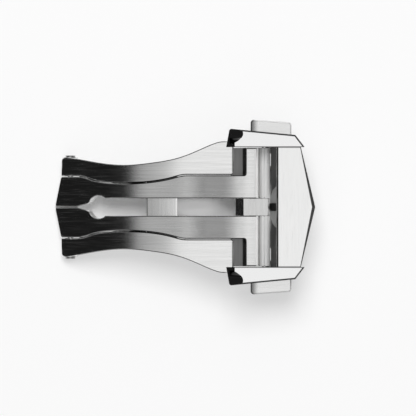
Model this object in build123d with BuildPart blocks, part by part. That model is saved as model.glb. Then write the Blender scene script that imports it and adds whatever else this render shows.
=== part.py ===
from build123d import *
import os
from math import sqrt

# Deployant clasp, lying closed on its two ends, millimetres.
# +X runs from the fold to the buckle, +Y to the rear cheek, +Z up from the surface it rests on.

# Strap and clearances
strap_width = 18.0      # strap that the cheeks take between them
strap_play = 0.15       # at each edge of the strap
strap_height = 2.4      # passage between guide plate and cover
turn_gap = 0.04         # radial, around a turning pin
slide_gap = 0.08        # around a sliding stem or button
press_gap = 0.01        # around a pressed pin
hair_gap = 0.05         # between pieces that only just clear
split_gap = 0.13        # between the wings and the inner arms
layer_gap = 0.15        # between one plate and the plate above it
overrun = 40.0          # how far a cut runs past what it cuts

# Arch that both blades follow, and the fold at its left end
arch_radius = 32.8
arch_x = 1.2
fold_x = -17.6
barrel_radius = 1.2
barrel_cover = 0.06     # metal between the barrel and the arch's top face
fold_pin_radius = 0.5

# Outer blade: two wings
wing_left = -18.93
wing_right = 7.44
wing_thickness = 1.7
wing_corner = 0.5
wing_end_corner = 0.35
wing_edge_chamfer = 0.14
wing_overhang = 0.88    # past the cheek's inner wall
split_start_x = -16.4   # where the split leaves its straight run at the fold
split_waist_x = -8.9
split_end_x = 0.4
split_tip_y = 4.7       # half widths of the split line
split_waist_y = 3.64
split_end_y = 4.89
outer_start_x = -17.9
outer_waist_x = -8.8
outer_end_x = 5.9
outer_tip_y = 7.62
outer_waist_y = 6.45
# each pair is how far along its stretch a point lies, and how far it has moved in or out
split_in_shares = ((0.287, 0.49), (0.64, 0.925))
split_out_shares = ((0.576, 0.356), (0.763, 0.67))
outer_in_shares = ((0.48, 0.65),)
outer_out_shares = ((0.24, 0.085), (0.53, 0.304), (0.77, 0.687), (0.95, 0.975))

# Ledge of the wings, under the edges of the inner arms
ledge_left = -16.2
ledge_width = 0.35

# Outer blade: lower plate, catch notches and strap lugs
web_length = 1.3
plate_lap = 0.44        # under the wings' ends
plate_drop = 2.225      # its left edge below the wings' top
plate_lean = 0.52       # fall of its first stretch
plate_lean_run = 1.41   # past the wings' ends
plate_bend_run = 1.15
plate_dip = 0.65
plate_past_hook = 0.15
plate_fall = 0.785
relief_run = 2.8        # cut-out for the tang's tail
relief_gap = 0.16
plate_thickness = 1.0
notch_clearance = 0.75  # left of the hook's leg
notch_inner_room = 1.0  # inside the hook
notch_setback = 0.95    # from the cheek's inner wall
lug_reach = 1.75        # past the lower plate
lug_radius = 1.45
lug_bore_radius = 0.6
lug_width = 1.05
lug_arm_overlap = 1.05
lug_arm_radius = 0.75
lug_root_run = 1.0
lug_root_drop = 0.55    # below the end of the lower plate's face
lug_root_radius = 0.4

# Crossbar
crossbar_left = -5.94
crossbar_right = -1.12
crossbar_thickness = 0.8
crossbar_half = 5.5
crossbar_bulge = 0.12

# Inner blade
inner_thickness = 1.1
tip_x = -19.9
tip_half = 0.5          # blunt middle of the pointed end
tip_corner_x = -19.05
tip_corner = 0.3
tip_lift = 0.05         # the ends of both blades clear the surface by this
neck_x = -0.5
window_width = 1.92     # between the wings' ends and the T-head
thead_width = 1.71
thead_drop = 1.08       # below the top of the arch
thead_corner = 0.35
thead_chamfer = 0.05
slot_half = 1.35
keyhole_x = -13.2
keyhole_radius = 1.76
slit_end_x = -16.5
slit_width = 0.14
slit_depth = 0.5
vee_half = 0.95
web_cover = 0.8         # how far the web to the knuckles lies below the T-head's face

# Axle and knuckles
axle_setback = 1.08     # from the T-head's edge
axle_radius = 0.42
knuckle_radius = 0.88

# Fold screws
screw_head_radius = 0.75
screw_head_height = 0.3
screw_shank = 0.9
screw_slot_width = 0.22
screw_slot_depth = 0.14

# Cheeks
cheek_lap = 1.12        # of the nose over the wings' ends
cheek_nose_slant = 0.5
cheek_left_width = 2.81
cheek_right_width = 1.85
cheek_corner_run = 1.35
cheek_past_cover = 0.51
cheek_tip_width = 0.09
cheek_height = 6.25
cheek_proud = 0.05      # above the cover's face
nose_gap = 0.15
nose_height = 0.72
nose_run = 1.3
nose_corner = 0.35
hollow_radius = 2.05
hollow_run = 2.58       # from the cheek's left end to where the hollow runs out
hollow_middle = 2.05    # beyond the cheek's inner wall
cheek_foot_run = 1.56   # from the wings' ends to the foot
cheek_heel_run = 1.21
cheek_heel_rise = 4.4
cheek_rim = 0.24
pocket_wall = 0.85

# Pushers
pusher_length = 6.25
pusher_past_stem = 0.4
pusher_height = 2.6
pusher_left_stand = 1.42    # beyond the cheek's outer side
pusher_right_stand = 1.98
pusher_travel = 0.8
pusher_corner = 0.5
pusher_edge = 0.2
stem_setback = 0.2      # from the guide plate's left edge
stem_width = 2.55
stem_height = 1.2
stem_clearance = 0.3    # under the guide plate

# Latch hooks, their screws, stop pins and springs
hook_setback = 0.9      # from the notch's outer edge
hook_plate = 0.8
hook_lip = 0.15
hook_leg_width = 0.75
hook_leg_thickness = 0.45
hook_tooth_gap = 0.2    # under the lower plate's end
hook_tooth_height = 0.55
hook_screw_inset = 0.65
hook_screw_radius = 0.28
hook_screw_head = 0.46
hook_screw_head_height = 0.35
hook_screw_depth = 1.4
stop_pin_run = 0.6      # from the hook's screw
stop_pin_radius = 0.22
stop_pin_stand = 0.2
spring_inset = 0.65
spring_radius = 0.45    # to the middle of the wire
spring_wire = 0.1       # wire radius
spring_turns = 4.0
guide_pin_radius = 0.22
guide_pin_reach = 1.3

# Guide plate
guide_clearance = 0.12  # past the knuckles
guide_width = 4.35
guide_top_drop = 0.3    # below the T-head's face
guide_thickness = 0.6
guide_notch_half = 1.6
guide_notch_step_run = 0.3
guide_notch_step_half = 2.6
guide_lip_run = 0.9     # slope towards the knuckles
guide_lip_fall = 0.4
guide_notch_margin = 0.4 # inside the seats of the springs
guide_notch_run = 0.85
guide_notch_wall = 0.6
guide_tenon_width = 0.8
guide_tenon_inset = 0.25
guide_tenon_depth = 0.75
spring_room = 3.7       # from the seat's back to the hook
seat_thickness = 0.6
seat_half_width = 0.7

# Cover plate and its pins
cover_setback = 0.8     # from the guide plate's left edge
cover_side_width = 3.75
cover_point = 2.2
cover_tip_bevel = 0.5
cover_tip_bevel_depth = 0.45
cover_side_bevel = 0.12
cover_thickness = 1.0
cover_edge_radius = 0.4
cover_pin_radius = 0.33
cover_pin_depth = 0.95
cover_pin_left_inset = 1.05
cover_pin_right_inset = 0.8

# Tang
tang_reach = 0.39       # left of the T-head
tang_half = 1.3
tang_thickness = 1.05
tang_tail_run = 1.22    # slope left of the block
tang_tail_tip = 0.25
tang_crown_radius = 0.4
prong_half = 0.6
prong_root_run = 0.8    # from the axle to the foot of its upper face
prong_root_drop = 0.5
prong_bend_run = 1.75
prong_drop = 0.95       # lowest face below the axle
prong_run = 4.35
prong_tip_gap = 0.3
prong_tip_width = 0.4

# Places that follow from the sizes above
inner_wall_y = strap_width / 2 + strap_play
blade_half = strap_width / 2
plate_half = inner_wall_y - strap_play * 2 / 3
fold_z = barrel_radius
arch_z = fold_z - sqrt((arch_radius - barrel_radius - barrel_cover) ** 2 - (arch_x - fold_x) ** 2)
arch_top = arch_z + arch_radius
thead_x = wing_right + window_width
thead_edge_x = thead_x + thead_width
thead_z = arch_top - thead_drop
axle_x = thead_edge_x + axle_setback
axle_z = thead_z - knuckle_radius
guide_left = axle_x + knuckle_radius + guide_clearance
guide_right = guide_left + guide_width
guide_notch_x = guide_left + guide_notch_run
guide_notch_right = guide_right - guide_notch_wall
guide_tenon_right = guide_right - guide_tenon_inset
guide_tenon_left = guide_tenon_right - guide_tenon_width
guide_top = thead_z - guide_top_drop
guide_bottom = guide_top - guide_thickness
cover_bottom = guide_top + strap_height
cover_top = cover_bottom + cover_thickness
cover_left = guide_left + cover_setback
cover_side_x = cover_left + cover_side_width
cover_tip = cover_side_x + cover_point
cover_tip_top = cover_tip - cover_tip_bevel
cover_pin_xs = (cover_left + cover_pin_left_inset, cover_side_x - cover_pin_right_inset)
cheek_left_inner = wing_right - cheek_lap
cheek_left_outer = cheek_left_inner + cheek_nose_slant
cheek_right = cover_side_x + cheek_past_cover
cheek_corner_x = cheek_right - cheek_corner_run
cheek_foot_x = wing_right + cheek_foot_run
cheek_heel_x = cheek_right - cheek_heel_run
cheek_top = cover_top + cheek_proud
cheek_bottom = cheek_top - cheek_height
cheek_outer_left_y = inner_wall_y + cheek_left_width
cheek_outer_right_y = inner_wall_y + cheek_right_width
cheek_right_y = inner_wall_y + cheek_tip_width
pocket_floor_y = inner_wall_y + pocket_wall
wing_end_y = inner_wall_y + wing_overhang
stem_left = guide_left + stem_setback
stem_right = stem_left + stem_width
pusher_right = stem_right + pusher_past_stem
pusher_left = pusher_right - pusher_length
plate_left = wing_right - plate_lap
plate_bend_x = wing_right + plate_lean_run
plate_dip_x = plate_bend_x + plate_bend_run
plate_right = stem_left + hook_leg_width + plate_past_hook
notch_left = stem_left - notch_clearance
notch_outer_y = inner_wall_y - notch_setback
plate_left_z = arch_top - plate_drop
plate_bend_z = plate_left_z - plate_lean
plate_low = plate_bend_z - plate_dip
relief_half = tang_half + relief_gap
plate_end_z = plate_low - plate_fall
lug_outer_y = plate_half + lug_width
lug_x = plate_right + lug_reach
lug_z = lug_radius
lug_arm_x = plate_right - lug_arm_overlap
lug_root_x = lug_arm_x - lug_root_run
lug_arm_z = plate_end_z - plate_thickness
lug_root_z = plate_end_z - lug_root_drop
pusher_inner_y = pocket_floor_y + pusher_travel + hair_gap
stem_top = guide_bottom - stem_clearance
stem_bottom = stem_top - stem_height
pusher_bottom = stem_bottom
pusher_top = pusher_bottom + pusher_height
pusher_left_y = cheek_outer_left_y + pusher_left_stand
pusher_right_y = cheek_outer_right_y + pusher_right_stand
stem_mid_z = (stem_bottom + stem_top) / 2
hook_bottom = plate_end_z - plate_thickness - hook_tooth_gap - hook_tooth_height
hook_inner_y = notch_outer_y - hook_setback
notch_inner_y = hook_inner_y - notch_inner_room
seat_inner_y = hook_inner_y - spring_room
guide_notch_wide = seat_inner_y - guide_notch_margin
hook_screw_x = stem_left + hook_screw_inset
stop_pin_x = hook_screw_x + stop_pin_run
spring_x = stem_right - spring_inset
hook_outer_y = hook_inner_y + hook_plate
stop_pin_y = inner_wall_y - stop_pin_radius - hair_gap
spring_start_y = seat_inner_y + seat_thickness + spring_wire + hair_gap
spring_length = hook_inner_y - spring_wire - hair_gap - spring_start_y
coil_gap = spring_length / spring_turns - 2 * spring_wire
crossbar_depth = inner_thickness + layer_gap
nose_bottom = arch_top + nose_gap
split_half_gap = split_gap / 2
slope_at_tip = (outer_tip_y - outer_waist_y) / (outer_waist_x - outer_start_x)
axle_half = pocket_floor_y - hair_gap
pin_half = outer_tip_y - screw_shank
pin_z = (cover_bottom + cover_top) / 2
tang_left = thead_x - tang_reach
tang_tail_x = tang_left - tang_tail_run
tang_right = axle_x + knuckle_radius
prong_bend_x = axle_x + prong_bend_run
prong_tip_x = axle_x + prong_run
prong_low = axle_z - prong_drop


def arch_height(x, depth):
    """Height of the arch at x, on the circle that lies depth below its top face."""
    return arch_z + sqrt((arch_radius - depth) ** 2 - (x - arch_x) ** 2)


def between(start, end, share):
    """The value that lies a share of the way from start to end."""
    return start + (end - start) * share


def stretch(start, end, shares):
    """Points between two plan points, each by its shares along X and Y."""
    return [(between(start[0], end[0], u), between(start[1], end[1], v)) for u, v in shares]


def side_plane(y):
    """The side view, x to the right and z up, standing at y."""
    return Plane.XZ.offset(-y)


def arch_band(depth, thickness, left, right):
    """Side view of a plate that follows the arch, cut off level just above the surface."""
    with Locations((arch_x, arch_z)):
        Circle(arch_radius - depth)
        Circle(arch_radius - depth - thickness, mode=Mode.SUBTRACT)
    with Locations((left, tip_lift)):
        Rectangle(right - left, arch_radius, align=(Align.MIN, Align.MIN), mode=Mode.INTERSECT)


def block(left, right, bottom, top, mode=Mode.ADD):
    """A rectangle given by its four sides."""
    with Locations((left, bottom)):
        Rectangle(right - left, top - bottom, align=(Align.MIN, Align.MIN), mode=mode)


def split_curve(shift):
    """The curve between wing and inner arm, moved outward by shift."""
    start = (split_start_x, split_tip_y + shift)
    waist = (split_waist_x, split_waist_y + shift)
    end = (split_end_x, split_end_y + shift)
    points = [start] + stretch(start, waist, split_in_shares) + [waist]
    points += stretch(waist, end, split_out_shares) + [end]
    return Spline(points, tangents=[(1, 0), (1, 0)])


def outer_curve():
    """The waisted outer edge of a wing."""
    start = (outer_start_x, outer_tip_y)
    waist = (outer_waist_x, outer_waist_y)
    end = (outer_end_x, wing_end_y)
    points = [start] + stretch(start, waist, outer_in_shares) + [waist]
    points += stretch(waist, end, outer_out_shares) + [end]
    return Spline(points, tangents=[(1, -slope_at_tip), (1, 0)])


# Ledge of the outer blade, on which the edges of the inner arms come to lie
with BuildPart() as ledge:
    with BuildSketch():
        with BuildLine():
            inner_side = split_curve(-ledge_width)
            outer_side = split_curve(split_half_gap + hair_gap)
            Line(inner_side @ 0, outer_side @ 0)
            Line(inner_side @ 1, outer_side @ 1)
        make_face()
        mirror(about=Plane.XZ)
    extrude(amount=arch_top)
    with BuildSketch(Plane.XZ):
        arch_band(crossbar_depth, wing_thickness - crossbar_depth, ledge_left, crossbar_right)
    extrude(amount=overrun, both=True, mode=Mode.INTERSECT)

# Outer blade
with BuildPart() as outer_blade:
    with BuildSketch() as wing_plan:
        with BuildLine():
            inner_edge = split_curve(split_half_gap)
            outer_edge = outer_curve()
            Line((wing_left, split_tip_y + split_half_gap), inner_edge @ 0)
            Line((wing_left, split_tip_y + split_half_gap), (wing_left, outer_tip_y))
            Line((wing_left, outer_tip_y), outer_edge @ 0)
            Line(outer_edge @ 1, (wing_right, wing_end_y))
            Line((wing_right, wing_end_y), (wing_right, split_end_y + split_half_gap))
            Line((wing_right, split_end_y + split_half_gap), inner_edge @ 1)
        make_face()
        fillet(wing_plan.vertices().sort_by(Axis.X)[:2].sort_by(Axis.Y)[-1], wing_corner)
        fillet(wing_plan.vertices().sort_by(Axis.X)[-2:].sort_by(Axis.Y)[0], wing_end_corner)
        mirror(about=Plane.XZ)
    extrude(amount=arch_top)
    # side view: arch, level run, and the web that steps down to the lower plate
    with BuildSketch(Plane.XZ):
        arch_band(0, wing_thickness, wing_left, arch_x)
        block(arch_x, wing_right, arch_top - wing_thickness, arch_top)
        block(wing_right - web_length, wing_right, plate_left_z - plate_thickness, arch_top)
    extrude(amount=overrun, both=True, mode=Mode.INTERSECT)
    top_edges = outer_blade.edges().filter_by(Axis.Y).group_by(Axis.Z)[-1]
    chamfer(top_edges.sort_by(Axis.X)[-2:], wing_edge_chamfer)
    add(ledge.part)
    # fold barrels under the left end of each wing
    for side in (1, -1):
        near = side * (split_tip_y + split_half_gap)
        far = side * outer_tip_y
        with BuildSketch(side_plane(near)):
            with Locations((fold_x, fold_z)):
                Circle(barrel_radius)
        extrude(amount=near - far)
    # lower plate, bent down to pass under the knuckles
    with BuildSketch(Plane.XZ):
        with BuildLine():
            Polyline(
                (plate_left, plate_left_z),
                (plate_bend_x, plate_bend_z),
                (plate_dip_x, plate_low),
                (plate_right, plate_end_z),
                (plate_right, plate_end_z - plate_thickness),
                (plate_dip_x, plate_low - plate_thickness),
                (plate_bend_x, plate_bend_z - plate_thickness),
                (plate_left, plate_left_z - plate_thickness),
                close=True,
            )
        make_face()
    extrude(amount=plate_half, both=True)
    # notches that the latch hooks reach down through, and the cut-out for the tang's tail
    with BuildSketch():
        for side in (1, -1):
            low, high = sorted((side * notch_inner_y, side * notch_outer_y))
            block(notch_left, plate_right + plate_thickness, low, high)
        block(plate_left - overrun, plate_left + relief_run, -relief_half, relief_half)
    extrude(amount=plate_left_z, mode=Mode.SUBTRACT)
    # lugs outside the strap's width
    for side in (1, -1):
        near = side * plate_half
        far = side * lug_outer_y
        with BuildSketch(side_plane(near)):
            with Locations((lug_x, lug_z)):
                Circle(lug_radius)
            with Locations((lug_arm_x, lug_arm_z)):
                Circle(lug_arm_radius)
            with Locations((lug_root_x, lug_root_z)):
                Circle(lug_root_radius)
            make_hull()
        extrude(amount=near - far)
    # bores: fold pin, and the bar that holds the strap
    with BuildSketch(Plane.XZ):
        with Locations((fold_x, fold_z)):
            Circle(fold_pin_radius + press_gap)
        with Locations((lug_x, lug_z)):
            Circle(lug_bore_radius)
    extrude(amount=overrun, both=True, mode=Mode.SUBTRACT)
    # seat of the crossbar in the underside of the wings
    with BuildSketch(Plane.XZ):
        arch_band(crossbar_depth, crossbar_thickness, crossbar_left, crossbar_right)
    extrude(amount=crossbar_half, both=True, mode=Mode.SUBTRACT)

# Crossbar
with BuildPart() as crossbar:
    with BuildSketch() as bar_plan:
        with BuildLine():
            ThreePointArc(
                (crossbar_left, crossbar_half),
                (crossbar_left + crossbar_bulge, 0),
                (crossbar_left, -crossbar_half),
            )
            Line((crossbar_left, -crossbar_half), (crossbar_right, -crossbar_half))
            Line((crossbar_right, -crossbar_half), (crossbar_right, crossbar_half))
            Line((crossbar_right, crossbar_half), (crossbar_left, crossbar_half))
        make_face()
    extrude(amount=arch_top)
    with BuildSketch(Plane.XZ):
        arch_band(crossbar_depth, crossbar_thickness, crossbar_left, crossbar_right)
    extrude(amount=overrun, both=True, mode=Mode.INTERSECT)

# Inner blade
with BuildPart() as inner_blade:
    with BuildSketch() as inner_plan:
        with BuildLine():
            arm_edge = split_curve(-split_half_gap)
            Polyline(
                (tip_x, 0),
                (tip_x, tip_half),
                (tip_corner_x, split_tip_y - split_half_gap),
                arm_edge @ 0,
            )
            Polyline(
                arm_edge @ 1,
                (thead_x, split_end_y - split_half_gap),
                (thead_x, blade_half),
                (axle_x, blade_half),
                (axle_x, 0),
            )
            mirror(about=Plane.XZ)
        make_face()
        neck = inner_plan.vertices().filter_by_position(Axis.X, thead_x - hair_gap, thead_x + hair_gap)
        fillet(neck.sort_by(Axis.Y)[1:3], thead_corner)
        tips = inner_plan.vertices().filter_by(lambda vertex: abs(vertex.X - tip_corner_x) < hair_gap)
        fillet(tips, tip_corner)
        with Locations((keyhole_x, 0)):
            Rectangle(overrun, 2 * slot_half, align=(Align.MIN, Align.CENTER), mode=Mode.SUBTRACT)
        with BuildLine():
            Polyline(
                (slit_end_x, slit_width / 2),
                (keyhole_x, vee_half),
                (keyhole_x, -vee_half),
                (slit_end_x, -slit_width / 2),
                close=True,
            )
        make_face(mode=Mode.SUBTRACT)
    extrude(amount=arch_top)
    # side view: arch, neck that falls to the T-head, T-head, and the thin web to the knuckles
    with BuildSketch(Plane.XZ):
        arch_band(0, inner_thickness, tip_x, neck_x)
        neck_top = arch_height(neck_x, 0)
        neck_low = arch_height(neck_x, inner_thickness)
        climb = (neck_top - arch_z, arch_x - neck_x)
        with BuildLine():
            upper = Spline((neck_x, neck_top), (thead_x, thead_z), tangents=[climb, (1, 0)])
            lower = Spline((neck_x, neck_low), (thead_x, thead_z - inner_thickness), tangents=[climb, (1, 0)])
            Line(upper @ 0, lower @ 0)
            Line(upper @ 1, lower @ 1)
        make_face()
        block(thead_x, thead_edge_x, thead_z - inner_thickness, thead_z)
        block(thead_edge_x, axle_x, thead_z - inner_thickness, thead_z - web_cover)
    extrude(amount=overrun, both=True, mode=Mode.INTERSECT)
    thead_edges = inner_blade.edges().filter_by(Axis.Y).filter_by_position(
        Axis.X, thead_edge_x - hair_gap, thead_edge_x + hair_gap
    )
    chamfer(thead_edges.group_by(Axis.Z)[-1], thead_chamfer)
    # knuckles around the axle
    for side in (1, -1):
        near = side * slot_half
        far = side * blade_half
        with BuildSketch(side_plane(near)):
            with Locations((axle_x, axle_z)):
                Circle(knuckle_radius)
        extrude(amount=near - far)
    # fold barrel, whole across
    with BuildSketch(Plane.XZ):
        with Locations((fold_x, fold_z)):
            Circle(barrel_radius)
    extrude(amount=split_tip_y - split_half_gap, both=True)
    # bores
    with BuildSketch(Plane.XZ):
        with Locations((fold_x, fold_z)):
            Circle(fold_pin_radius + turn_gap)
        with Locations((axle_x, axle_z)):
            Circle(axle_radius + turn_gap)
    extrude(amount=overrun, both=True, mode=Mode.SUBTRACT)
    # round end of the slot, drilled square to the plate
    keyhole_top = arch_height(keyhole_x, 0)
    keyhole_normal = (keyhole_x - arch_x, 0, keyhole_top - arch_z)
    with BuildSketch(Plane(origin=(keyhole_x, 0, keyhole_top), x_dir=(0, 1, 0), z_dir=keyhole_normal)):
        Circle(keyhole_radius)
    extrude(amount=2 * inner_thickness, both=True, mode=Mode.SUBTRACT)
    # slit from the pointed end to the keyhole
    with BuildSketch(Plane.XZ):
        arch_band(0, slit_depth, tip_x, slit_end_x)
    extrude(amount=slit_width / 2, both=True, mode=Mode.SUBTRACT)

# Fold pin and the slotted screws at its ends
with BuildPart() as fold_pin:
    with BuildSketch(Plane.XZ):
        with Locations((fold_x, fold_z)):
            Circle(fold_pin_radius)
    extrude(amount=pin_half, both=True)

with BuildPart() as fold_screws:
    for side in (1, -1):
        shank_near = side * pin_half
        face = side * outer_tip_y
        crown = side * (outer_tip_y + screw_head_height)
        with BuildSketch(side_plane(shank_near)):
            with Locations((fold_x, fold_z)):
                Circle(fold_pin_radius)
        extrude(amount=shank_near - face)
        with BuildSketch(side_plane(face)):
            with Locations((fold_x, fold_z)):
                Circle(screw_head_radius)
        extrude(amount=face - crown)
        with BuildSketch(side_plane(crown)):
            with Locations((fold_x, fold_z)):
                Rectangle(2 * screw_head_radius, screw_slot_width)
        extrude(amount=side * screw_slot_depth, mode=Mode.SUBTRACT)

# Axle, pressed into the inner walls of the cheeks
with BuildPart() as axle:
    with BuildSketch(Plane.XZ):
        with Locations((axle_x, axle_z)):
            Circle(axle_radius)
    extrude(amount=axle_half, both=True)

# Guide plate, the floor of the strap passage
with BuildPart() as guide_plate:
    with BuildSketch(Plane.XY.offset(guide_bottom)):
        block(guide_left, guide_right, -inner_wall_y, inner_wall_y)
        for side in (1, -1):
            low, high = sorted((side * inner_wall_y, side * (inner_wall_y + guide_tenon_depth)))
            block(guide_tenon_left, guide_tenon_right, low, high)
        with BuildLine():
            Polyline(
                (guide_left, guide_notch_half),
                (guide_left + guide_notch_step_run, guide_notch_step_half),
                (guide_notch_x, guide_notch_wide),
                (guide_notch_right, guide_notch_wide),
                (guide_notch_right, -guide_notch_wide),
                (guide_notch_x, -guide_notch_wide),
                (guide_left + guide_notch_step_run, -guide_notch_step_half),
                (guide_left, -guide_notch_half),
                close=True,
            )
        make_face(mode=Mode.SUBTRACT)
    extrude(amount=guide_thickness)
    # lip that falls towards the knuckles
    with BuildSketch(Plane.XZ):
        with BuildLine():
            Polyline(
                (guide_left, guide_top),
                (guide_left + guide_lip_run, guide_top),
                (guide_left, guide_top - guide_lip_fall),
                close=True,
            )
        make_face()
    extrude(amount=overrun, both=True, mode=Mode.SUBTRACT)
    # seats bent down behind the springs
    with BuildSketch(Plane.XY.offset(guide_bottom)):
        for side in (1, -1):
            low, high = sorted((side * seat_inner_y, side * (seat_inner_y + seat_thickness)))
            block(spring_x - seat_half_width, spring_x + seat_half_width, low, high)
    extrude(amount=stem_bottom - guide_bottom)
    with BuildSketch(Plane.XZ):
        with Locations((spring_x, stem_mid_z)):
            Circle(guide_pin_radius + press_gap)
    extrude(amount=overrun, both=True, mode=Mode.SUBTRACT)

# Guide pins, one inside each spring
with BuildPart() as guide_pins:
    for side in (1, -1):
        near = side * seat_inner_y
        far = side * (seat_inner_y + seat_thickness + guide_pin_reach)
        with BuildSketch(side_plane(near)):
            with Locations((spring_x, stem_mid_z)):
                Circle(guide_pin_radius)
        extrude(amount=near - far)

# Cover plate, pointed to the right, with a facet that widens towards the point
with BuildPart() as cover_plate:
    with BuildSketch(Plane.XY.offset(cover_bottom)):
        with BuildLine():
            Polyline(
                (cover_left, -inner_wall_y),
                (cover_side_x, -inner_wall_y),
                (cover_tip, 0),
                (cover_side_x, inner_wall_y),
                (cover_left, inner_wall_y),
                close=True,
            )
        make_face()
    extrude(amount=cover_thickness)
    fillet(cover_plate.edges().filter_by(Axis.Y).group_by(Axis.X)[0].sort_by(Axis.Z)[-1], cover_edge_radius)
    for side in (1, -1):
        corner = Vector(cover_side_x - cover_side_bevel, side * inner_wall_y, cover_top)
        tip = Vector(cover_tip_top, 0, cover_top)
        low_tip = Vector(cover_tip, 0, cover_top - cover_tip_bevel_depth)
        along = corner - tip
        with BuildSketch(Plane(origin=tip, x_dir=along, z_dir=side * (low_tip - tip).cross(along))):
            Rectangle(overrun, overrun)
        extrude(amount=overrun, mode=Mode.SUBTRACT)
    for side in (1, -1):
        wall = side * inner_wall_y
        with BuildSketch(side_plane(wall)):
            with Locations(*[(x, pin_z) for x in cover_pin_xs]):
                Circle(cover_pin_radius + press_gap)
        extrude(amount=side * cover_pin_depth, mode=Mode.SUBTRACT)

# Four dowels that join the cover plate to the cheeks
with BuildPart() as cover_pins:
    for side in (1, -1):
        near = side * (inner_wall_y - cover_pin_depth + hair_gap)
        far = side * (inner_wall_y + cover_pin_depth - hair_gap)
        with BuildSketch(side_plane(near)):
            with Locations(*[(x, pin_z) for x in cover_pin_xs]):
                Circle(cover_pin_radius)
        extrude(amount=near - far)

# Tang: block between the knuckles with a sloping tail, prong under the cover
with BuildPart() as tang:
    with BuildSketch(Plane.XZ):
        with BuildLine():
            Polyline(
                (tang_tail_x, thead_z - tang_thickness),
                (tang_tail_x, thead_z - tang_thickness + tang_tail_tip),
                (tang_left, thead_z),
                (tang_right, thead_z),
                (tang_right, axle_z),
                (axle_x, axle_z),
                (axle_x, thead_z - tang_thickness),
                close=True,
            )
        make_face()
        with Locations((axle_x, axle_z)):
            Circle(knuckle_radius)
    extrude(amount=tang_half, both=True)
    fillet(tang.edges().filter_by(Axis.Y).group_by(Axis.X)[-1].sort_by(Axis.Z)[-1], tang_crown_radius)
    with BuildSketch(Plane.XZ):
        with BuildLine():
            Polyline(
                (axle_x, axle_z),
                (axle_x, prong_low),
                (prong_bend_x, prong_low),
                (prong_tip_x, cover_bottom - prong_tip_gap - prong_tip_width),
                (prong_tip_x - prong_tip_width, cover_bottom - prong_tip_gap),
                (axle_x + prong_root_run, axle_z - prong_root_drop),
                close=True,
            )
        make_face()
    extrude(amount=prong_half, both=True)
    with BuildSketch(Plane.XZ):
        with Locations((axle_x, axle_z)):
            Circle(axle_radius + turn_gap)
    extrude(amount=overrun, both=True, mode=Mode.SUBTRACT)


def make_cheek(side):
    """Polished side piece, with a pocket for the button and a window for its stem."""
    with BuildPart() as cheek:
        with BuildSketch() as cheek_plan:
            with BuildLine():
                Polyline(
                    (cheek_left_inner, side * inner_wall_y),
                    (cheek_left_outer, side * cheek_outer_left_y),
                    (cheek_corner_x, side * cheek_outer_right_y),
                    (cheek_right, side * cheek_right_y),
                    (cheek_right, side * inner_wall_y),
                    close=True,
                )
            make_face()
            fillet(cheek_plan.vertices().sort_by(Axis.Y)[::side][-1], nose_corner)
        extrude(amount=cheek_top)
        # side view: nose over the wing's end, body behind it
        with BuildSketch(Plane.XZ):
            with BuildLine():
                Polyline(
                    (cheek_left_inner, cheek_top),
                    (cheek_left_inner, nose_bottom),
                    (wing_right + nose_gap, nose_bottom),
                    (cheek_foot_x, cheek_bottom),
                    (cheek_heel_x, cheek_bottom),
                    (cheek_right, cheek_bottom + cheek_heel_rise),
                    (cheek_right, cheek_top),
                    close=True,
                )
            make_face()
        extrude(amount=overrun, both=True, mode=Mode.INTERSECT)
        rim = cheek.faces().sort_by(Axis.Z)[-1].edges()
        chamfer(rim.filter_by(lambda edge: abs(edge.center().Y) > inner_wall_y + hair_gap), cheek_rim)
        # steep front of the nose
        with BuildSketch(Plane.XZ):
            with BuildLine():
                Polyline(
                    (cheek_left_inner, nose_bottom + nose_height),
                    (cheek_left_inner + nose_run, cheek_top),
                    (cheek_left_inner, cheek_top),
                    close=True,
                )
            make_face()
        extrude(amount=overrun, both=True, mode=Mode.SUBTRACT)
        # hollow ground into the nose, which runs out to the right
        hollow_end = Vector(cheek_left_inner + hollow_run, side * (inner_wall_y + hollow_middle), cheek_top)
        hollow_start = Vector(cheek_left_inner, hollow_end.Y, nose_bottom + nose_height)
        with BuildSketch(Plane(hollow_end, Vector(0, 1, 0), hollow_end - hollow_start)):
            with Locations((0, hollow_radius)):
                Circle(hollow_radius)
        extrude(amount=overrun, both=True, mode=Mode.SUBTRACT)
        # pocket for the button
        with BuildSketch(side_plane(side * pocket_floor_y)):
            block(
                pusher_left - slide_gap,
                pusher_right + slide_gap,
                pusher_bottom - slide_gap,
                pusher_top + slide_gap,
            )
        extrude(amount=-side * overrun, mode=Mode.SUBTRACT)
        # window for the stem, and the bore of the axle
        with BuildSketch(Plane.XZ):
            block(
                stem_left - slide_gap,
                stem_right + slide_gap,
                stem_bottom - slide_gap,
                stem_top + slide_gap,
            )
            with Locations((axle_x, axle_z)):
                Circle(axle_radius + press_gap)
        extrude(amount=-side * overrun, mode=Mode.SUBTRACT)
        # mortise of the guide plate, and holes of the cover's dowels
        with BuildSketch(side_plane(side * inner_wall_y)):
            block(guide_tenon_left, guide_tenon_right, guide_bottom, guide_top)
        extrude(amount=-side * guide_tenon_depth, mode=Mode.SUBTRACT)
        with BuildSketch(side_plane(side * inner_wall_y)):
            with Locations(*[(x, pin_z) for x in cover_pin_xs]):
                Circle(cover_pin_radius + press_gap)
        extrude(amount=-side * cover_pin_depth, mode=Mode.SUBTRACT)
    return cheek.part


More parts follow.
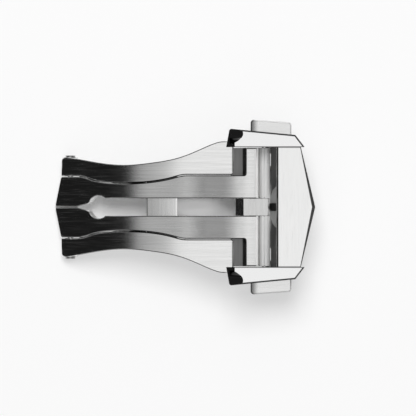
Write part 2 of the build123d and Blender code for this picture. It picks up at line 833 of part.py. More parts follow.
def make_pusher(side):
    """Button with its stem, which runs in through the cheek's window."""
    with BuildPart() as pusher:
        with BuildSketch(Plane.XY.offset(pusher_bottom)) as button:
            with BuildLine():
                Polyline(
                    (pusher_left, side * pusher_inner_y),
                    (pusher_left, side * pusher_left_y),
                    (pusher_right, side * pusher_right_y),
                    (pusher_right, side * pusher_inner_y),
                    close=True,
                )
            make_face()
            fillet(button.vertices().sort_by(Axis.Y)[::side][-2:], pusher_corner)
        extrude(amount=pusher_top - pusher_bottom)
        crown = pusher.faces().filter_by(Axis.Z)
        rims = ShapeList(edge for face in crown for edge in face.edges())
        chamfer(rims.filter_by(lambda edge: abs(edge.center().Y) > pusher_inner_y + hair_gap), pusher_edge)
        near = side * pusher_inner_y
        far = side * hook_outer_y
        with BuildSketch(side_plane(near)):
            block(stem_left, stem_right, stem_bottom, stem_top)
        extrude(amount=near - far)
        # blind hole for the hook's screw, and the hole of the stop pin
        with BuildSketch(side_plane(far)):
            with Locations((hook_screw_x, stem_mid_z)):
                Circle(hook_screw_radius + press_gap)
        extrude(amount=-side * hook_screw_depth, mode=Mode.SUBTRACT)
        with BuildSketch():
            with Locations((stop_pin_x, side * stop_pin_y)):
                Circle(stop_pin_radius + press_gap)
        extrude(amount=overrun, mode=Mode.SUBTRACT)
    return pusher.part


def make_hook(side):
    """Plate on the stem's inner end, with a leg and a tooth below."""
    tooth_y = notch_outer_y - hair_gap
    leg_y = hook_inner_y + hook_leg_thickness
    with BuildPart() as hook:
        near = side * hook_inner_y
        with BuildSketch(side_plane(near)):
            block(stem_left, stem_right, stem_bottom - hook_lip, stem_top + hook_lip)
        extrude(amount=near - side * hook_outer_y)
        with BuildSketch(side_plane(near)):
            block(stem_left, stem_left + hook_leg_width, hook_bottom, stem_bottom)
        extrude(amount=near - side * leg_y)
        with BuildSketch(side_plane(near)):
            block(stem_left, stem_left + hook_leg_width, hook_bottom, hook_bottom + hook_tooth_height)
        extrude(amount=near - side * tooth_y)
        with BuildSketch(Plane.XZ):
            with Locations((hook_screw_x, stem_mid_z)):
                Circle(hook_screw_radius + press_gap)
        extrude(amount=-side * overrun, mode=Mode.SUBTRACT)
    return hook.part


def make_hook_screw(side):
    """Slotted screw from the hook into the stem."""
    with BuildPart() as screw:
        seat = side * hook_inner_y
        crown = side * (hook_inner_y - hook_screw_head_height)
        end = side * (hook_outer_y + hook_screw_depth - hair_gap)
        with BuildSketch(side_plane(seat)):
            with Locations((hook_screw_x, stem_mid_z)):
                Circle(hook_screw_radius)
        extrude(amount=seat - end)
        with BuildSketch(side_plane(seat)):
            with Locations((hook_screw_x, stem_mid_z)):
                Circle(hook_screw_head)
        extrude(amount=seat - crown)
        with BuildSketch(side_plane(crown)):
            with Locations((hook_screw_x, stem_mid_z)):
                Rectangle(screw_slot_width, 2 * hook_screw_head)
        extrude(amount=-side * screw_slot_depth, mode=Mode.SUBTRACT)
    return screw.part


def make_stop_pin(side):
    """Upright pin that meets the cheek's inner wall when the button is out."""
    with BuildPart() as pin:
        with BuildSketch(Plane.XY.offset(stem_bottom - stop_pin_stand)):
            with Locations((stop_pin_x, side * stop_pin_y)):
                Circle(stop_pin_radius)
        extrude(amount=stem_height + 2 * stop_pin_stand)
    return pin.part


def make_spring(side):
    """Compression coil between the guide plate's seat and the hook."""
    with BuildPart() as spring:
        with BuildLine() as wire:
            Helix(
                pitch=spring_length / spring_turns,
                height=spring_length,
                radius=spring_radius,
                center=(spring_x, side * spring_start_y, stem_mid_z),
                direction=(0, side, 0),
            )
        with BuildSketch(Plane(origin=wire.line @ 0, z_dir=wire.line % 0)):
            Circle(spring_wire)
        sweep(is_frenet=True)
    return spring.part


parts = {
    "outer_blade": outer_blade.part,
    "crossbar": crossbar.part,
    "inner_blade": inner_blade.part,
    "fold_pin": fold_pin.part,
    "fold_screws": fold_screws.part,
    "axle": axle.part,
    "guide_plate": guide_plate.part,
    "guide_pins": guide_pins.part,
    "cover_plate": cover_plate.part,
    "cover_pins": cover_pins.part,
    "tang": tang.part,
}
for side, place in ((1, "rear"), (-1, "front")):
    parts[f"cheek_{place}"] = make_cheek(side)
    parts[f"pusher_{place}"] = make_pusher(side)
    parts[f"hook_{place}"] = make_hook(side)
    parts[f"hook_screw_{place}"] = make_hook_screw(side)
    parts[f"stop_pin_{place}"] = make_stop_pin(side)
    parts[f"spring_{place}"] = make_spring(side)

os.makedirs("parts", exist_ok=True)
for name, part in parts.items():
    part.label = name
    export_step(part, f"parts/{name}.step")
print("least gap between the turns of a spring:", round(coil_gap, 2))
print("arch top, axle, cover top:", round(arch_top, 2), round(axle_z, 2), round(cover_top, 2))
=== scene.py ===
from math import radians

import bmesh
import bpy
import numpy as np
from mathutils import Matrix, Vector


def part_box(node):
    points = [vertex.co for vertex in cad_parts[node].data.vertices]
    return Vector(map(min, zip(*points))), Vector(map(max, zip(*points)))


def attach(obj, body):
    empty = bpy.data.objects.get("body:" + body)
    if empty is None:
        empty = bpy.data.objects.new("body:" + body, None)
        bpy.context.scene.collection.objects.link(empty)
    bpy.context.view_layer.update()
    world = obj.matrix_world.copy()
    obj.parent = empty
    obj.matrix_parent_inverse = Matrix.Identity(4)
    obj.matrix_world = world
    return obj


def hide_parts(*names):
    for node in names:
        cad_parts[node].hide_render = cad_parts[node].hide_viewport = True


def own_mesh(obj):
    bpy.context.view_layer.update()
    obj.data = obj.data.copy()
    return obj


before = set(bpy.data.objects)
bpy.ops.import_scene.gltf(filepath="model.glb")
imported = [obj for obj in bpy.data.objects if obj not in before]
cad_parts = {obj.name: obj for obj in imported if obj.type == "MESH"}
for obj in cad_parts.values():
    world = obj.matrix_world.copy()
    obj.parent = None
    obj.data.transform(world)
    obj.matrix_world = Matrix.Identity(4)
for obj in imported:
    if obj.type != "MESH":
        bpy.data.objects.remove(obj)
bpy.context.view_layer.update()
MM = 0.001


# Outer blade
# The stamped lower blade: two waisted wings that follow the wrist, the step behind their free
# ends, the plate under the buckle and the strap lugs. One piece of stainless steel, brushed
# lengthwise on the wings and across on the plate.
STEEL = (0.80, 0.80, 0.795)
ARCH_RADIUS = 32.8 * MM
ARCH_X = 1.2 * MM
ARCH_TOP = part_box("outer_blade")[1].z
ARCH_Z = ARCH_TOP - ARCH_RADIUS
THEAD_Z = ARCH_TOP - 1.08 * MM
# the blades' broken edges, seen from above and from the side
EDGE_WIDTH = 0.12 * MM
EDGE_DROP = 0.10 * MM
# a piece's loose triangles join at points this close, and its faces at angles this small
MERGE_GAP = 0.0002 * MM
FLAT_ANGLE = radians(0.2)
# the brush's marks, each by its length and width
SCRATCH = (3.0 * MM, 0.045 * MM)
STREAK = (9.0 * MM, 0.30 * MM)
GLINT = (5.0 * MM, 0.10 * MM)
# how much scratches and streaks add to the roughness, a streak's height against a scratch's, and
# what is left of the colour on average
SCRATCH_ROUGH = 0.16
STREAK_ROUGH = 0.06
STREAK_HEIGHT = 0.8
MEAN_TONE = 0.98
# each pair says from where to where a mask rises
FOLD_END = (-9.0 * MM, -7.5 * MM)
WING_UNDERSIDE = (ARCH_TOP - 1.75 * MM, ARCH_TOP - 1.65 * MM)
BRUSH_TURNS = (5.9 * MM, 6.1 * MM)
PLATE_START = (7.3 * MM, 7.5 * MM)
PLATE_BEND = (8.75 * MM, 8.95 * MM)
PLATE_LIT = (12.6 * MM, 13.0 * MM)
SPLIT_INNER = (2.6 * MM, 3.0 * MM)
SPLIT_OUTER = (5.3 * MM, 5.6 * MM)
SPLIT_ARCH_END = (0.0 * MM, 0.4 * MM)
SPLIT_WALL = (ARCH_RADIUS - 0.30 * MM, ARCH_RADIUS - 0.16 * MM)
LEANS_ENOUGH = (0.12, 0.22)
LEANS_TOO_FAR = (0.66, 0.76)


class Signal:
    """A value inside a material; sums, products and the like of signals add Math nodes."""

    def __init__(self, tree, socket=None):
        self.tree = tree
        self.socket = socket

    def node(self, kind, settings=(), inputs=(), output=0):
        """Adds a node: its type, its settings or stops, then the values or links of its sockets."""
        made = self.tree.nodes.new(kind)
        for name, value in dict(settings).items():
            if name == "stops":
                set_stops(made.color_ramp.elements, value)
            else:
                setattr(made, name, value)
        for name, value in dict(inputs).items():
            if isinstance(value, Signal):
                self.tree.links.new(value.socket, made.inputs[name])
            else:
                made.inputs[name].default_value = value
        return Signal(self.tree, made.outputs[output])

    def _math(self, operation, first, second):
        return self.node("ShaderNodeMath", {"operation": operation}, {0: first, 1: second})

    def __add__(self, other):
        return self._math("ADD", self, other)

    __radd__ = __add__

    def __sub__(self, other):
        return self._math("SUBTRACT", self, other)

    def __rsub__(self, other):
        return self._math("SUBTRACT", other, self)

    def __mul__(self, other):
        return self._math("MULTIPLY", self, other)

    __rmul__ = __mul__

    def smooth(self, low, high):
        """0 below low, 1 above high, and an even S between them."""
        return self.node(
            "ShaderNodeMapRange",
            {"interpolation_type": "SMOOTHSTEP"},
            {"Value": self, "From Min": low, "From Max": high},
        )

    def colored(self, color):
        """The colour times this signal."""
        return self.node("ShaderNodeVectorMath", {"operation": "SCALE"}, {0: color, "Scale": self})

    def feed(self, shader, name):
        """Links this signal to a socket of the shader."""
        self.tree.links.new(self.socket, shader.inputs[name])


def set_stops(elements, stops):
    """A ramp's stops in rising order, each a place from 0 to 1 and its grey level."""
    for index, (where, level) in enumerate(stops):
        if index == 0:
            stop = elements[0]
        elif index == len(stops) - 1:
            stop = elements[-1]
        else:
            stop = elements.new(where)
        stop.position = where
        stop.color = (level, level, level, 1.0)


def new_material(name):
    """An empty material, a signal to build with, and the material's Principled shader."""
    material = bpy.data.materials.new(name)
    material.use_nodes = True
    tree = material.node_tree
    return material, Signal(tree), tree.nodes["Principled BSDF"]


def place_of(here):
    """The three coordinates of a point on the piece."""
    place = here.node("ShaderNodeTexCoord", output="Object")
    outputs = here.node("ShaderNodeSeparateXYZ", (), {0: place}).socket.node.outputs
    return [Signal(here.tree, outputs[i]) for i in range(3)]


def beyond(y, low, high):
    """0 nearer than low to the middle plane, 1 further than high, worked out on the square of y."""
    return (y * y).smooth(low ** 2, high ** 2)


def darker(mask, share):
    """What a colour is multiplied by, so that the mask takes a share of it away."""
    return 1 - share * mask


def streaks(here, mark, lengthwise, detail):
    """Marks of a belt or wheel, from 0 to 1: noise of the object's place, stretched along X or Y.

    Those along X follow the arch up and down."""
    along, across = mark
    place = here.node("ShaderNodeTexCoord", output="Object")
    if lengthwise == "X":
        scale = (1 / along, 1 / across, 1 / along)
    else:
        scale = (1 / across, 1 / along, 1 / across)
    inputs = {"Vector": place, "Scale": scale}
    stretched = here.node("ShaderNodeMapping", {"vector_type": "POINT"}, inputs)
    return here.node(
        "ShaderNodeTexNoise",
        {"noise_dimensions": "3D"},
        {"Vector": stretched, "Scale": 1.0, "Detail": detail, "Roughness": 0.62},
        output="Fac",
    )


def brush_marks(here, mark, turned, detail):
    """Streaks along X where turned is 0 and along Y where it is 1."""
    if not isinstance(turned, Signal):
        return streaks(here, mark, "Y" if turned else "X", detail)
    lengthwise = streaks(here, mark, "X", detail)
    crosswise = streaks(here, mark, "Y", detail)
    return lengthwise + turned * (crosswise - lengthwise)


def bump(distance, height):
    """The normal of a surface with a relief: distance is how high a height of 1 stands."""
    inputs = {"Strength": 1.0, "Distance": distance, "Height": height}
    return height.node("ShaderNodeBump", (), inputs, output="Normal")


def brushed_steel(name, color, rough, depth, turned=None, rough_and_shade=None, blasted=None, contrast=0.30):
    """Brushed stainless steel: hairline scratches over broad streaks, in tone, gloss and relief.

    The brush ran along X, or along Y where the mask that turned makes is 1. rough_and_shade makes a
    pair of signals: what is added to the roughness, and what the colour is multiplied by, which on
    most pieces is painted shade and painted highlight. blasted makes the share of the surface that is
    blasted and scatters light like chalk."""
    material, here, shader = new_material(name)
    mask = turned(here) if turned else 0.0
    # the colour factor is mostly painted shade and painted highlight
    more_rough, shade = rough_and_shade(here) if rough_and_shade else (0.0, 1.0)
    fine = brush_marks(here, SCRATCH, mask, detail=3.0)
    broad = brush_marks(here, STREAK, mask, detail=2.0)
    tone = (MEAN_TONE + contrast * (broad - 0.5)) * shade
    tone.colored(color).feed(shader, "Base Color")
    scratch_rough = SCRATCH_ROUGH * (fine.smooth(0.50, 0.75) - 0.3)
    streak_rough = STREAK_ROUGH * (broad - 0.5)
    (rough + more_rough + scratch_rough + streak_rough).feed(shader, "Roughness")
    if blasted:
        (1 - blasted(here)).feed(shader, "Metallic")
    else:
        shader.inputs["Metallic"].default_value = 1.0
    bump(depth, fine + STREAK_HEIGHT * broad).feed(shader, "Normal")
    return material


def broken_edges(here, axis):
    """1 where a face leans by about 45 degrees against an axis, 1 for Y or 2 for Z.

    Worked out on the square of the normal's part along that axis, which is 0.5 at 45 degrees."""
    normal = here.node("ShaderNodeNewGeometry", output="True Normal")
    part = here.node("ShaderNodeSeparateXYZ", (), {0: normal}, output=axis)
    square = part * part
    return square.smooth(*LEANS_ENOUGH) * (1 - square.smooth(*LEANS_TOO_FAR))


def turned_on_plate(here):
    """The brush turns on the plate behind the wings' ends, below the wings' underside."""
    x, y, z = place_of(here)
    return x.smooth(*BRUSH_TURNS) * (1 - z.smooth(*WING_UNDERSIDE))


def arm_blasted(here):
    """Scratches that catch the light, and the tumbled edges of the arms near the fold."""
    x, y, z = place_of(here)
    scratches = streaks(here, GLINT, "X", detail=3.0).smooth(0.50, 0.72)
    tumbled = broken_edges(here, 1) * (1 - x.smooth(*FOLD_END))
    return 0.045 * scratches + 0.14 * tumbled


def split_shade(here):
    """How dark the split between wings and arms is, past the fold's dark end.

    Its walls are those points of the strip that lie nearer to the arch's axis than the arch; its
    broken edges are less dark."""
    x, y, z = place_of(here)
    from_axis = here.node("ShaderNodeCombineXYZ", (), {0: x - ARCH_X, 2: z - ARCH_Z})
    reach = here.node("ShaderNodeVectorMath", {"operation": "LENGTH"}, {0: from_axis}, output="Value")
    strip = x.smooth(*FOLD_END) * beyond(y, *SPLIT_INNER) * (1 - beyond(y, *SPLIT_OUTER))
    walls = 0.88 * (1 - reach.smooth(*SPLIT_WALL)) * (1 - x.smooth(*SPLIT_ARCH_END))
    return strip * (walls + 0.70 * broken_edges(here, 1) * (1 - walls))


def lower_plate_rough_and_painted_shade(here):
    """Rougher on the lower plate, with painted shade there and more behind its second bend.

    Painted shade also on the broken edges past the fold and in the split.
    """
    x, y, z = place_of(here)
    low = x.smooth(*PLATE_START) * (1 - z.smooth(*WING_UNDERSIDE))
    inside = low * x.smooth(*PLATE_BEND) * (1 - x.smooth(*PLATE_LIT))
    edge = broken_edges(here, 1) * x.smooth(*FOLD_END)
    # painted shade on the lower plate, deeper behind its second bend, and on the broken edges
    plate_shade = 1 - 0.30 * low - 0.55 * inside
    return 0.34 * low, plate_shade * darker(edge, 0.55) * (1 - split_shade(here))


def merged(node):
    """A copy of a node's mesh, open for editing, in which equal points are one."""
    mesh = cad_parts[node].data.copy()
    work = bmesh.new()
    work.from_mesh(mesh)
    bmesh.ops.remove_doubles(work, verts=work.verts, dist=MERGE_GAP)
    return mesh, work


def eased(node, name, body, material, width=0, arch=False, crease=48):
    """A copy of a machined piece with its edges broken, which replaces its node.

    Each sharp edge gets a round of that width, and edges over crease degrees stay creases. On a
    blade the upper faces' edges are broken instead, and its normals point away from the axis."""
    mesh, work = merged(node)
    bmesh.ops.dissolve_limit(work, angle_limit=FLAT_ANGLE, verts=work.verts, edges=work.edges)
    if arch:
        break_upper_edges(work)
    for face in work.faces:
        face.smooth = True
    work.to_mesh(mesh)
    work.free()
    draft = bpy.data.objects.new(name + "_draft", mesh)
    bpy.context.scene.collection.objects.link(draft)
    if width > 0:
        bevel = draft.modifiers.new("edge", "BEVEL")
        bevel.width = width
        bevel.segments = 2
        bevel.limit_method = "ANGLE"
        bevel.angle_limit = radians(30)
        bevel.use_clamp_overlap = True
        draft.data = with_modifiers(draft)
    draft.data.set_sharp_from_angle(angle=radians(crease))
    weighted = draft.modifiers.new("faces", "WEIGHTED_NORMAL")
    weighted.weight = 100
    weighted.keep_sharp = True
    final = with_modifiers(draft)
    bpy.data.objects.remove(draft)
    if arch:
        point_normals_outward(final)
    placed(final, name, node, body, material)


def with_modifiers(draft):
    """The mesh that a draft's modifiers make, which are then taken off."""
    made = bpy.data.meshes.new_from_object(draft.evaluated_get(bpy.context.evaluated_depsgraph_get()))
    draft.modifiers.clear()
    return made


def placed(mesh, name, node, body, material):
    """The finished piece: its object, its material, the node it replaces and the body it rides on."""
    mesh.name = name
    mesh.materials.clear()
    mesh.materials.append(material)
    piece = bpy.data.objects.new(name, mesh)
    bpy.context.scene.collection.objects.link(piece)
    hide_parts(node)
    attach(piece, body)
    return piece


def break_upper_edges(work):
    """The upper faces of a blade shrink by EDGE_WIDTH all round, and their old outline sinks.

    It sinks by EDGE_DROP, but for the wings' edges at the split, which are milled off already.
    Upper faces lie on the arch's circle, or right of it at the T-head's level or above."""
    arch_slack = 0.03 * MM
    level_slack = 0.02 * MM
    arch_right = -1.5 * MM
    upper = []
    for face in work.faces:
        middle = face.calc_center_median()
        off_arch = abs(Vector((middle.x - ARCH_X, 0, middle.z - ARCH_Z)).length - ARCH_RADIUS)
        if middle.x > arch_right:
            on_top = middle.z > THEAD_Z - level_slack
        else:
            on_top = off_arch < arch_slack
        if on_top and face.normal.z > 0.75:
            upper.append(face)
    bmesh.ops.inset_region(
        work, faces=upper, thickness=EDGE_WIDTH, use_even_offset=True, use_boundary=True
    )
    kept = {corner for face in upper for corner in face.verts}
    rims = {face for corner in kept for face in corner.link_faces} - set(upper)
    outline = {corner for face in rims for corner in face.verts} - kept
    milled = {
        corner
        for face in work.faces
        if abs(face.normal.y) > 0.5 and face.normal.z > 0.4
        for corner in face.verts
    }
    for corner in outline - milled:
        corner.co.z -= EDGE_DROP


def point_normals_outward(mesh):
    """On the arch's circle, every corner normal becomes the unit vector from the axis to the point.

    Only on points left of the middle, and where the face looks that way already."""
    arch_slack = 0.012 * MM
    points = np.empty(len(mesh.vertices) * 3)
    mesh.vertices.foreach_get("co", points)
    points = points.reshape(-1, 3)
    corner_points = np.empty(len(mesh.loops), dtype=np.int64)
    mesh.loops.foreach_get("vertex_index", corner_points)
    normals = np.empty(len(mesh.loops) * 3)
    mesh.corner_normals.foreach_get("vector", normals)
    normals = normals.reshape(-1, 3)
    away = points - np.array([ARCH_X, 0.0, ARCH_Z])
    away[:, 1] = 0.0
    radius = np.linalg.norm(away, axis=1)
    on_arch = (np.abs(radius - ARCH_RADIUS) < arch_slack) & (points[:, 0] < 0.0)
    radial = away / radius[:, None]
    chosen = on_arch[corner_points] & ((normals * radial[corner_points]).sum(1) > 0.8)
    normals[chosen] = radial[corner_points][chosen]
    mesh.normals_split_custom_set(normals.tolist())


arm_steel = brushed_steel(
    "arm_steel",
    STEEL,
    rough=0.12,
    depth=0.0045 * MM,
    turned=turned_on_plate,
    rough_and_shade=lower_plate_rough_and_painted_shade,
    blasted=arm_blasted,
)
eased("outer_blade", "outer_blade_body", "outer", arm_steel, arch=True, crease=24)


# Crossbar
# A plate let into the underside of the wings, which ties them together under the slot.
# Brushed across before it is welded in.
BAR_LEFT = (-5.80 * MM, -5.62 * MM)
BAR_RIGHT = (-1.45 * MM, -1.30 * MM)
BAR_HIDDEN = (1.8 * MM, 2.4 * MM)


def turned_all_over(here):
    """The brush ran along Y all over."""
    return 1.0


def crossbar_rough_and_painted_light(here):
    """Painted shade and more roughness at the edge towards the fold, a painted highlight and less
    roughness at the one towards the buckle.

    Painted shade too where the arms cover it, so that the split stays dark."""
    x, y, z = place_of(here)
    left = 1 - x.smooth(*BAR_LEFT)
    right = x.smooth(*BAR_RIGHT)
    hidden = beyond(y, *BAR_HIDDEN)
    # painted shade at the fold's edge and under the arms, a painted highlight at the buckle's edge
    return 0.10 * left - 0.10 * right, (1 - 0.75 * left + 0.15 * right) * darker(hidden, 0.85)


cross_steel = brushed_steel(
    "cross_steel",
    STEEL,
    rough=0.24,
    depth=0.0035 * MM,
    turned=turned_all_over,
    rough_and_shade=crossbar_rough_and_painted_light,
)
eased("crossbar", "crossbar_body", "outer", cross_steel, width=0.05 * MM)


# Inner blade
# The T-shaped upper blade with its slit, keyhole and slot, and the two rolled knuckles that
# turn on the axle. Brushed lengthwise on the arms and across at the T-head and the knuckles.
ARM_MATT_AND_SHADED = (-6.0 * MM, -1.2 * MM)
ARM_SHADE_FADES = (1.6 * MM, 3.6 * MM)
NECK_SHADE_FADES = (8.6 * MM, 10.0 * MM)
THEAD_START = (10.4 * MM, 10.8 * MM)
THEAD_EDGE_SMOOTH_AND_LIT = (10.82 * MM, 10.90 * MM)
THEAD_EDGE_BLASTED = (10.86 * MM, 10.94 * MM)
THEAD_EDGE_END = (11.06 * MM, 11.10 * MM)
KNUCKLE_START = (11.12 * MM, 11.22 * MM)
KNUCKLE_BLASTED = (11.30 * MM, 11.60 * MM)
SLIT_WALL = (0.08 * MM, 0.12 * MM)
SLIT_END = (-16.0 * MM, -15.0 * MM)


def turned_at_thead(here):
    """The brush turns from the T-head's edge to the knuckles."""
    x, y, z = place_of(here)
    return x.smooth(*THEAD_START)


def blade_rough_and_painted_light(here):
    """Rougher with painted shade between crossbar and neck, rougher in the slit, and rougher with a
    painted highlight on the knuckles.

    Smoother with a painted highlight at the T-head's edge, and painted shade at the edges and in
    the split."""
    x, y, z = place_of(here)
    shade_fading = 1 - 0.6 * x.smooth(*ARM_SHADE_FADES) - 0.25 * x.smooth(*NECK_SHADE_FADES)
    matt_and_shaded = x.smooth(*ARM_MATT_AND_SHADED) * shade_fading
    knuckle_matt_and_lit = x.smooth(*KNUCKLE_START)
    thead_edge = x.smooth(*THEAD_EDGE_SMOOTH_AND_LIT) * (1 - x.smooth(*THEAD_EDGE_END))
    slit = (1 - beyond(y, *SLIT_WALL)) * (1 - x.smooth(*SLIT_END))
    # painted shade between crossbar and neck, painted highlights on the knuckles and the T-head's edge
    more_rough = 0.16 * matt_and_shaded + 0.50 * knuckle_matt_and_lit + 0.40 * slit - 0.06 * thead_edge
    shade = 1 - 0.36 * matt_and_shaded + 0.18 * knuckle_matt_and_lit + 0.18 * thead_edge
    edge = broken_edges(here, 1) * x.smooth(*FOLD_END)
    return more_rough, shade * darker(edge, 0.55) * (1 - split_shade(here))


def knuckle_blasted(here):
    """Half blasted on the knuckles and more at the T-head's edge, and scratched like the wings."""
    x, y, z = place_of(here)
    thead_edge = x.smooth(*THEAD_EDGE_BLASTED) * (1 - x.smooth(*THEAD_EDGE_END))
    return arm_blasted(here) + 0.45 * x.smooth(*KNUCKLE_BLASTED) + 0.70 * thead_edge


blade_steel = brushed_steel(
    "blade_steel",
    STEEL,
    rough=0.12,
    depth=0.0045 * MM,
    turned=turned_at_thead,
    rough_and_shade=blade_rough_and_painted_light,
    blasted=knuckle_blasted,
)
eased("inner_blade", "inner_blade_body", "inner", blade_steel, arch=True, crease=24)


# Fold pin and its screws
# A turned pin runs through the barrels at the left end; a slotted screw closes it at each side.
# The axle, the dowels and the stop pins are turned from the same bar.
pin_steel = brushed_steel(
    "pin_steel", (0.72, 0.72, 0.715), rough=0.22, depth=0.0015 * MM, turned=turned_all_over
)
for node in ("fold_pin", "axle", "guide_pins", "cover_pins", "stop_pin_rear", "stop_pin_front"):
    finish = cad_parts[node].data.materials
    finish.clear()
    finish.append(pin_steel)
screw_steel = brushed_steel(
    "screw_steel", (0.50, 0.50, 0.495), rough=0.48, depth=0.0015 * MM, turned=turned_all_over
)
eased("fold_screws", "fold_screw_heads", "outer", screw_steel, width=0.05 * MM)


# Guide plate
# The plate between the knuckles and the cover, mortised into both cheeks, with a stepped notch
# that the tang's prong passes through. Fine satin finish.
NOTCH_END = (3.4 * MM, 3.6 * MM)


def notch_edges(here):
    """1 on the broken edges of the notch, near the middle of the plate."""
    x, y, z = place_of(here)
    return broken_edges(here, 2) * (1 - beyond(y, *NOTCH_END))


def guide_painted_light(here):
    """Painted shade all over, and a painted highlight on the edges of the notch, which are also
    smoother.
    """
    bright = notch_edges(here)
    # painted shade over the plate, painted highlight on the notch's edges
    return 0.25 - 0.05 * bright, 0.22 + 0.85 * bright


guide_satin = brushed_steel(
    "guide_satin",
    STEEL,
    rough=0.34,
    depth=0.0016 * MM,
    turned=turned_all_over,
    rough_and_shade=guide_painted_light,
    blasted=notch_edges,
)
eased("guide_plate", "guide_plate_body", "buckle", guide_satin, width=0.12 * MM)


# Cover plate
# The visible cover with its pointed edge, held by dowels in the cheeks. Fine satin finish; its
# left edge is rounded over.
COVER_SEAM = (8.98 * MM, 9.06 * MM)


def cover_seam_shade(here):
    """Painted shade in the seams between the cover and the cheeks, which are also rougher."""
    x, y, z = place_of(here)
    seam = beyond(y, *COVER_SEAM)
    # painted shade along the seams
    return 0.10 * seam, darker(seam, 0.62)


cover_satin = brushed_steel(
    "cover_satin",
    (0.89, 0.89, 0.885),
    rough=0.20,
    depth=0.0006 * MM,
    turned=turned_all_over,
    rough_and_shade=cover_seam_shade,
    contrast=0.10,
)
eased("cover_plate", "cover_plate_body", "buckle", cover_satin, width=0.10 * MM)


# Tang
# The block between the knuckles, milled in one with the prong that holds the strap.
# Brushed across, and never polished on the prong, which also carries painted shade.
PRONG_START = (12.95 * MM, 13.1 * MM)


def prong_rough_and_painted_shade(here):
    """Rougher with painted shade on the prong, past the knuckles."""
    x, y, z = place_of(here)
    prong = x.smooth(*PRONG_START)
    # painted shade on the prong
    return 0.25 * prong, darker(prong, 0.75)


tang_steel = brushed_steel(
    "tang_steel",
    (0.70, 0.70, 0.695),
    rough=0.28,
    depth=0.0030 * MM,
    turned=turned_all_over,
    rough_and_shade=prong_rough_and_painted_shade,
)
eased("tang", "tang_body", "tang", tang_steel, width=0.05 * MM)


# Cheeks
# The two side pieces of the buckle, machined and polished to a mirror, with a narrow bevel
# around the top face and a hollow nose over the end of each wing.
WHEEL_WAVE = (2.5 * MM, 2.0 * MM)
HAIRLINE = (4.0 * MM, 0.02 * MM)
WAVE_HEIGHT = 0.004 * MM
INNER_RIM = (9.24 * MM, 9.30 * MM)
RIM_BOTTOM = (10.30 * MM, 10.40 * MM)
HOLLOW_LEFT = (6.75 * MM, 6.90 * MM)
HOLLOW_RIGHT = (8.95 * MM, 9.05 * MM)
HOLLOW_INNER = (9.6 * MM, 9.7 * MM)
HOLLOW_OUTER = (10.45 * MM, 10.62 * MM)
HOLLOW_BOTTOM = (9.2 * MM, 9.4 * MM)
HOLLOW_TOP = (10.71 * MM, 10.735 * MM)


def mirror_steel(name, color):
    """Polished stainless steel: nearly a mirror, wavy from the buffing wheel, with hairline marks.

    Painted shade darkens the inner rim, and a painted dark reflection the nose's hollow."""
    material, here, shader = new_material(name)
    shader.inputs["Metallic"].default_value = 1.0
    x, y, z = place_of(here)
    # painted shade along the inner rim and painted dark reflection in the nose's hollow
    rim = (1 - beyond(y, *INNER_RIM)) * z.smooth(*RIM_BOTTOM)
    aside = beyond(y, *HOLLOW_INNER) * (1 - beyond(y, *HOLLOW_OUTER))
    ahead = x.smooth(*HOLLOW_LEFT) * (1 - x.smooth(*HOLLOW_RIGHT))
    below = z.smooth(*HOLLOW_BOTTOM) * (1 - z.smooth(*HOLLOW_TOP))
    shade = darker(rim, 0.78) * darker(aside * ahead * below, 0.92)
    shade.colored(color).feed(shader, "Base Color")
    wave = streaks(here, WHEEL_WAVE, "X", detail=1.0)
    hair = streaks(here, HAIRLINE, "X", detail=2.0)
    (0.06 + 0.05 * hair).feed(shader, "Roughness")
    bump(WAVE_HEIGHT, wave).feed(shader, "Normal")
    return material


polished = mirror_steel("polished", (0.86, 0.86, 0.86))
for side in ("rear", "front"):
    eased("cheek_" + side, "cheek_body_" + side, "buckle", polished, crease=14)


# Buttons
# The two pushers, satin like the cover, each with its stem through the cheek.
# The bevel around the face is blasted.
FACE_LEVEL = (7.74 * MM, 7.79 * MM)
BEVEL_BLASTED = (10.35 * MM, 10.6 * MM)
BUTTON_SHADE_END = (10.2 * MM, 11.3 * MM)


def button_painted_shade(here):
    """Painted shade, darker towards the end by the fold, which is also rougher."""
    x, y, z = place_of(here)
    lit_share = x.smooth(*BUTTON_SHADE_END)
    # painted shade fading out towards the buckle's end
    return 0.10 * (1 - lit_share), 0.30 + 0.70 * lit_share


def button_blasted(here):
    """Blasted below the face, but for the end towards the fold."""
    x, y, z = place_of(here)
    return 0.9 * (1 - z.smooth(*FACE_LEVEL)) * x.smooth(*BEVEL_BLASTED)


button_satin = brushed_steel(
    "button_satin",
    (0.84, 0.84, 0.835),
    rough=0.26,
    depth=0.0012 * MM,
    rough_and_shade=button_painted_shade,
    blasted=button_blasted,
    contrast=0.16,
)
for side in ("rear", "front"):
    body = "button_" + side
    eased("pusher_" + side, "pusher_body_" + side, body, button_satin, width=0.12 * MM)


# Latch hooks and their screws
# Flat steel hooks, each held by a screw at the inner end of a button's stem, beside the edge of
# the lower plate.
hook_steel = brushed_steel("hook_steel", (0.45, 0.45, 0.445), rough=0.36, depth=0.0020 * MM)
for side in ("rear", "front"):
    body = "button_" + side
    screw = "hook_screw_" + side
    eased("hook_" + side, "hook_body_" + side, body, hook_steel, width=0.05 * MM)
    eased(screw, "hook_screw_head_" + side, body, pin_steel, width=0.03 * MM)


# Springs
# Coils of drawn wire between the seats of the guide plate and the hooks, squeezed as a button
# goes in.
wire_steel = brushed_steel(
    "wire_steel", (0.55, 0.55, 0.56), rough=0.32, depth=0.0008 * MM, turned=turned_all_over
)
for side, sign in (("rear", 1), ("front", -1)):
    spring = "spring_" + side
    mesh, work = merged(spring)
    work.to_mesh(mesh)
    work.free()
    coil = placed(mesh, "spring_coil_" + side, spring, "buckle", wire_steel)
    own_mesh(coil)


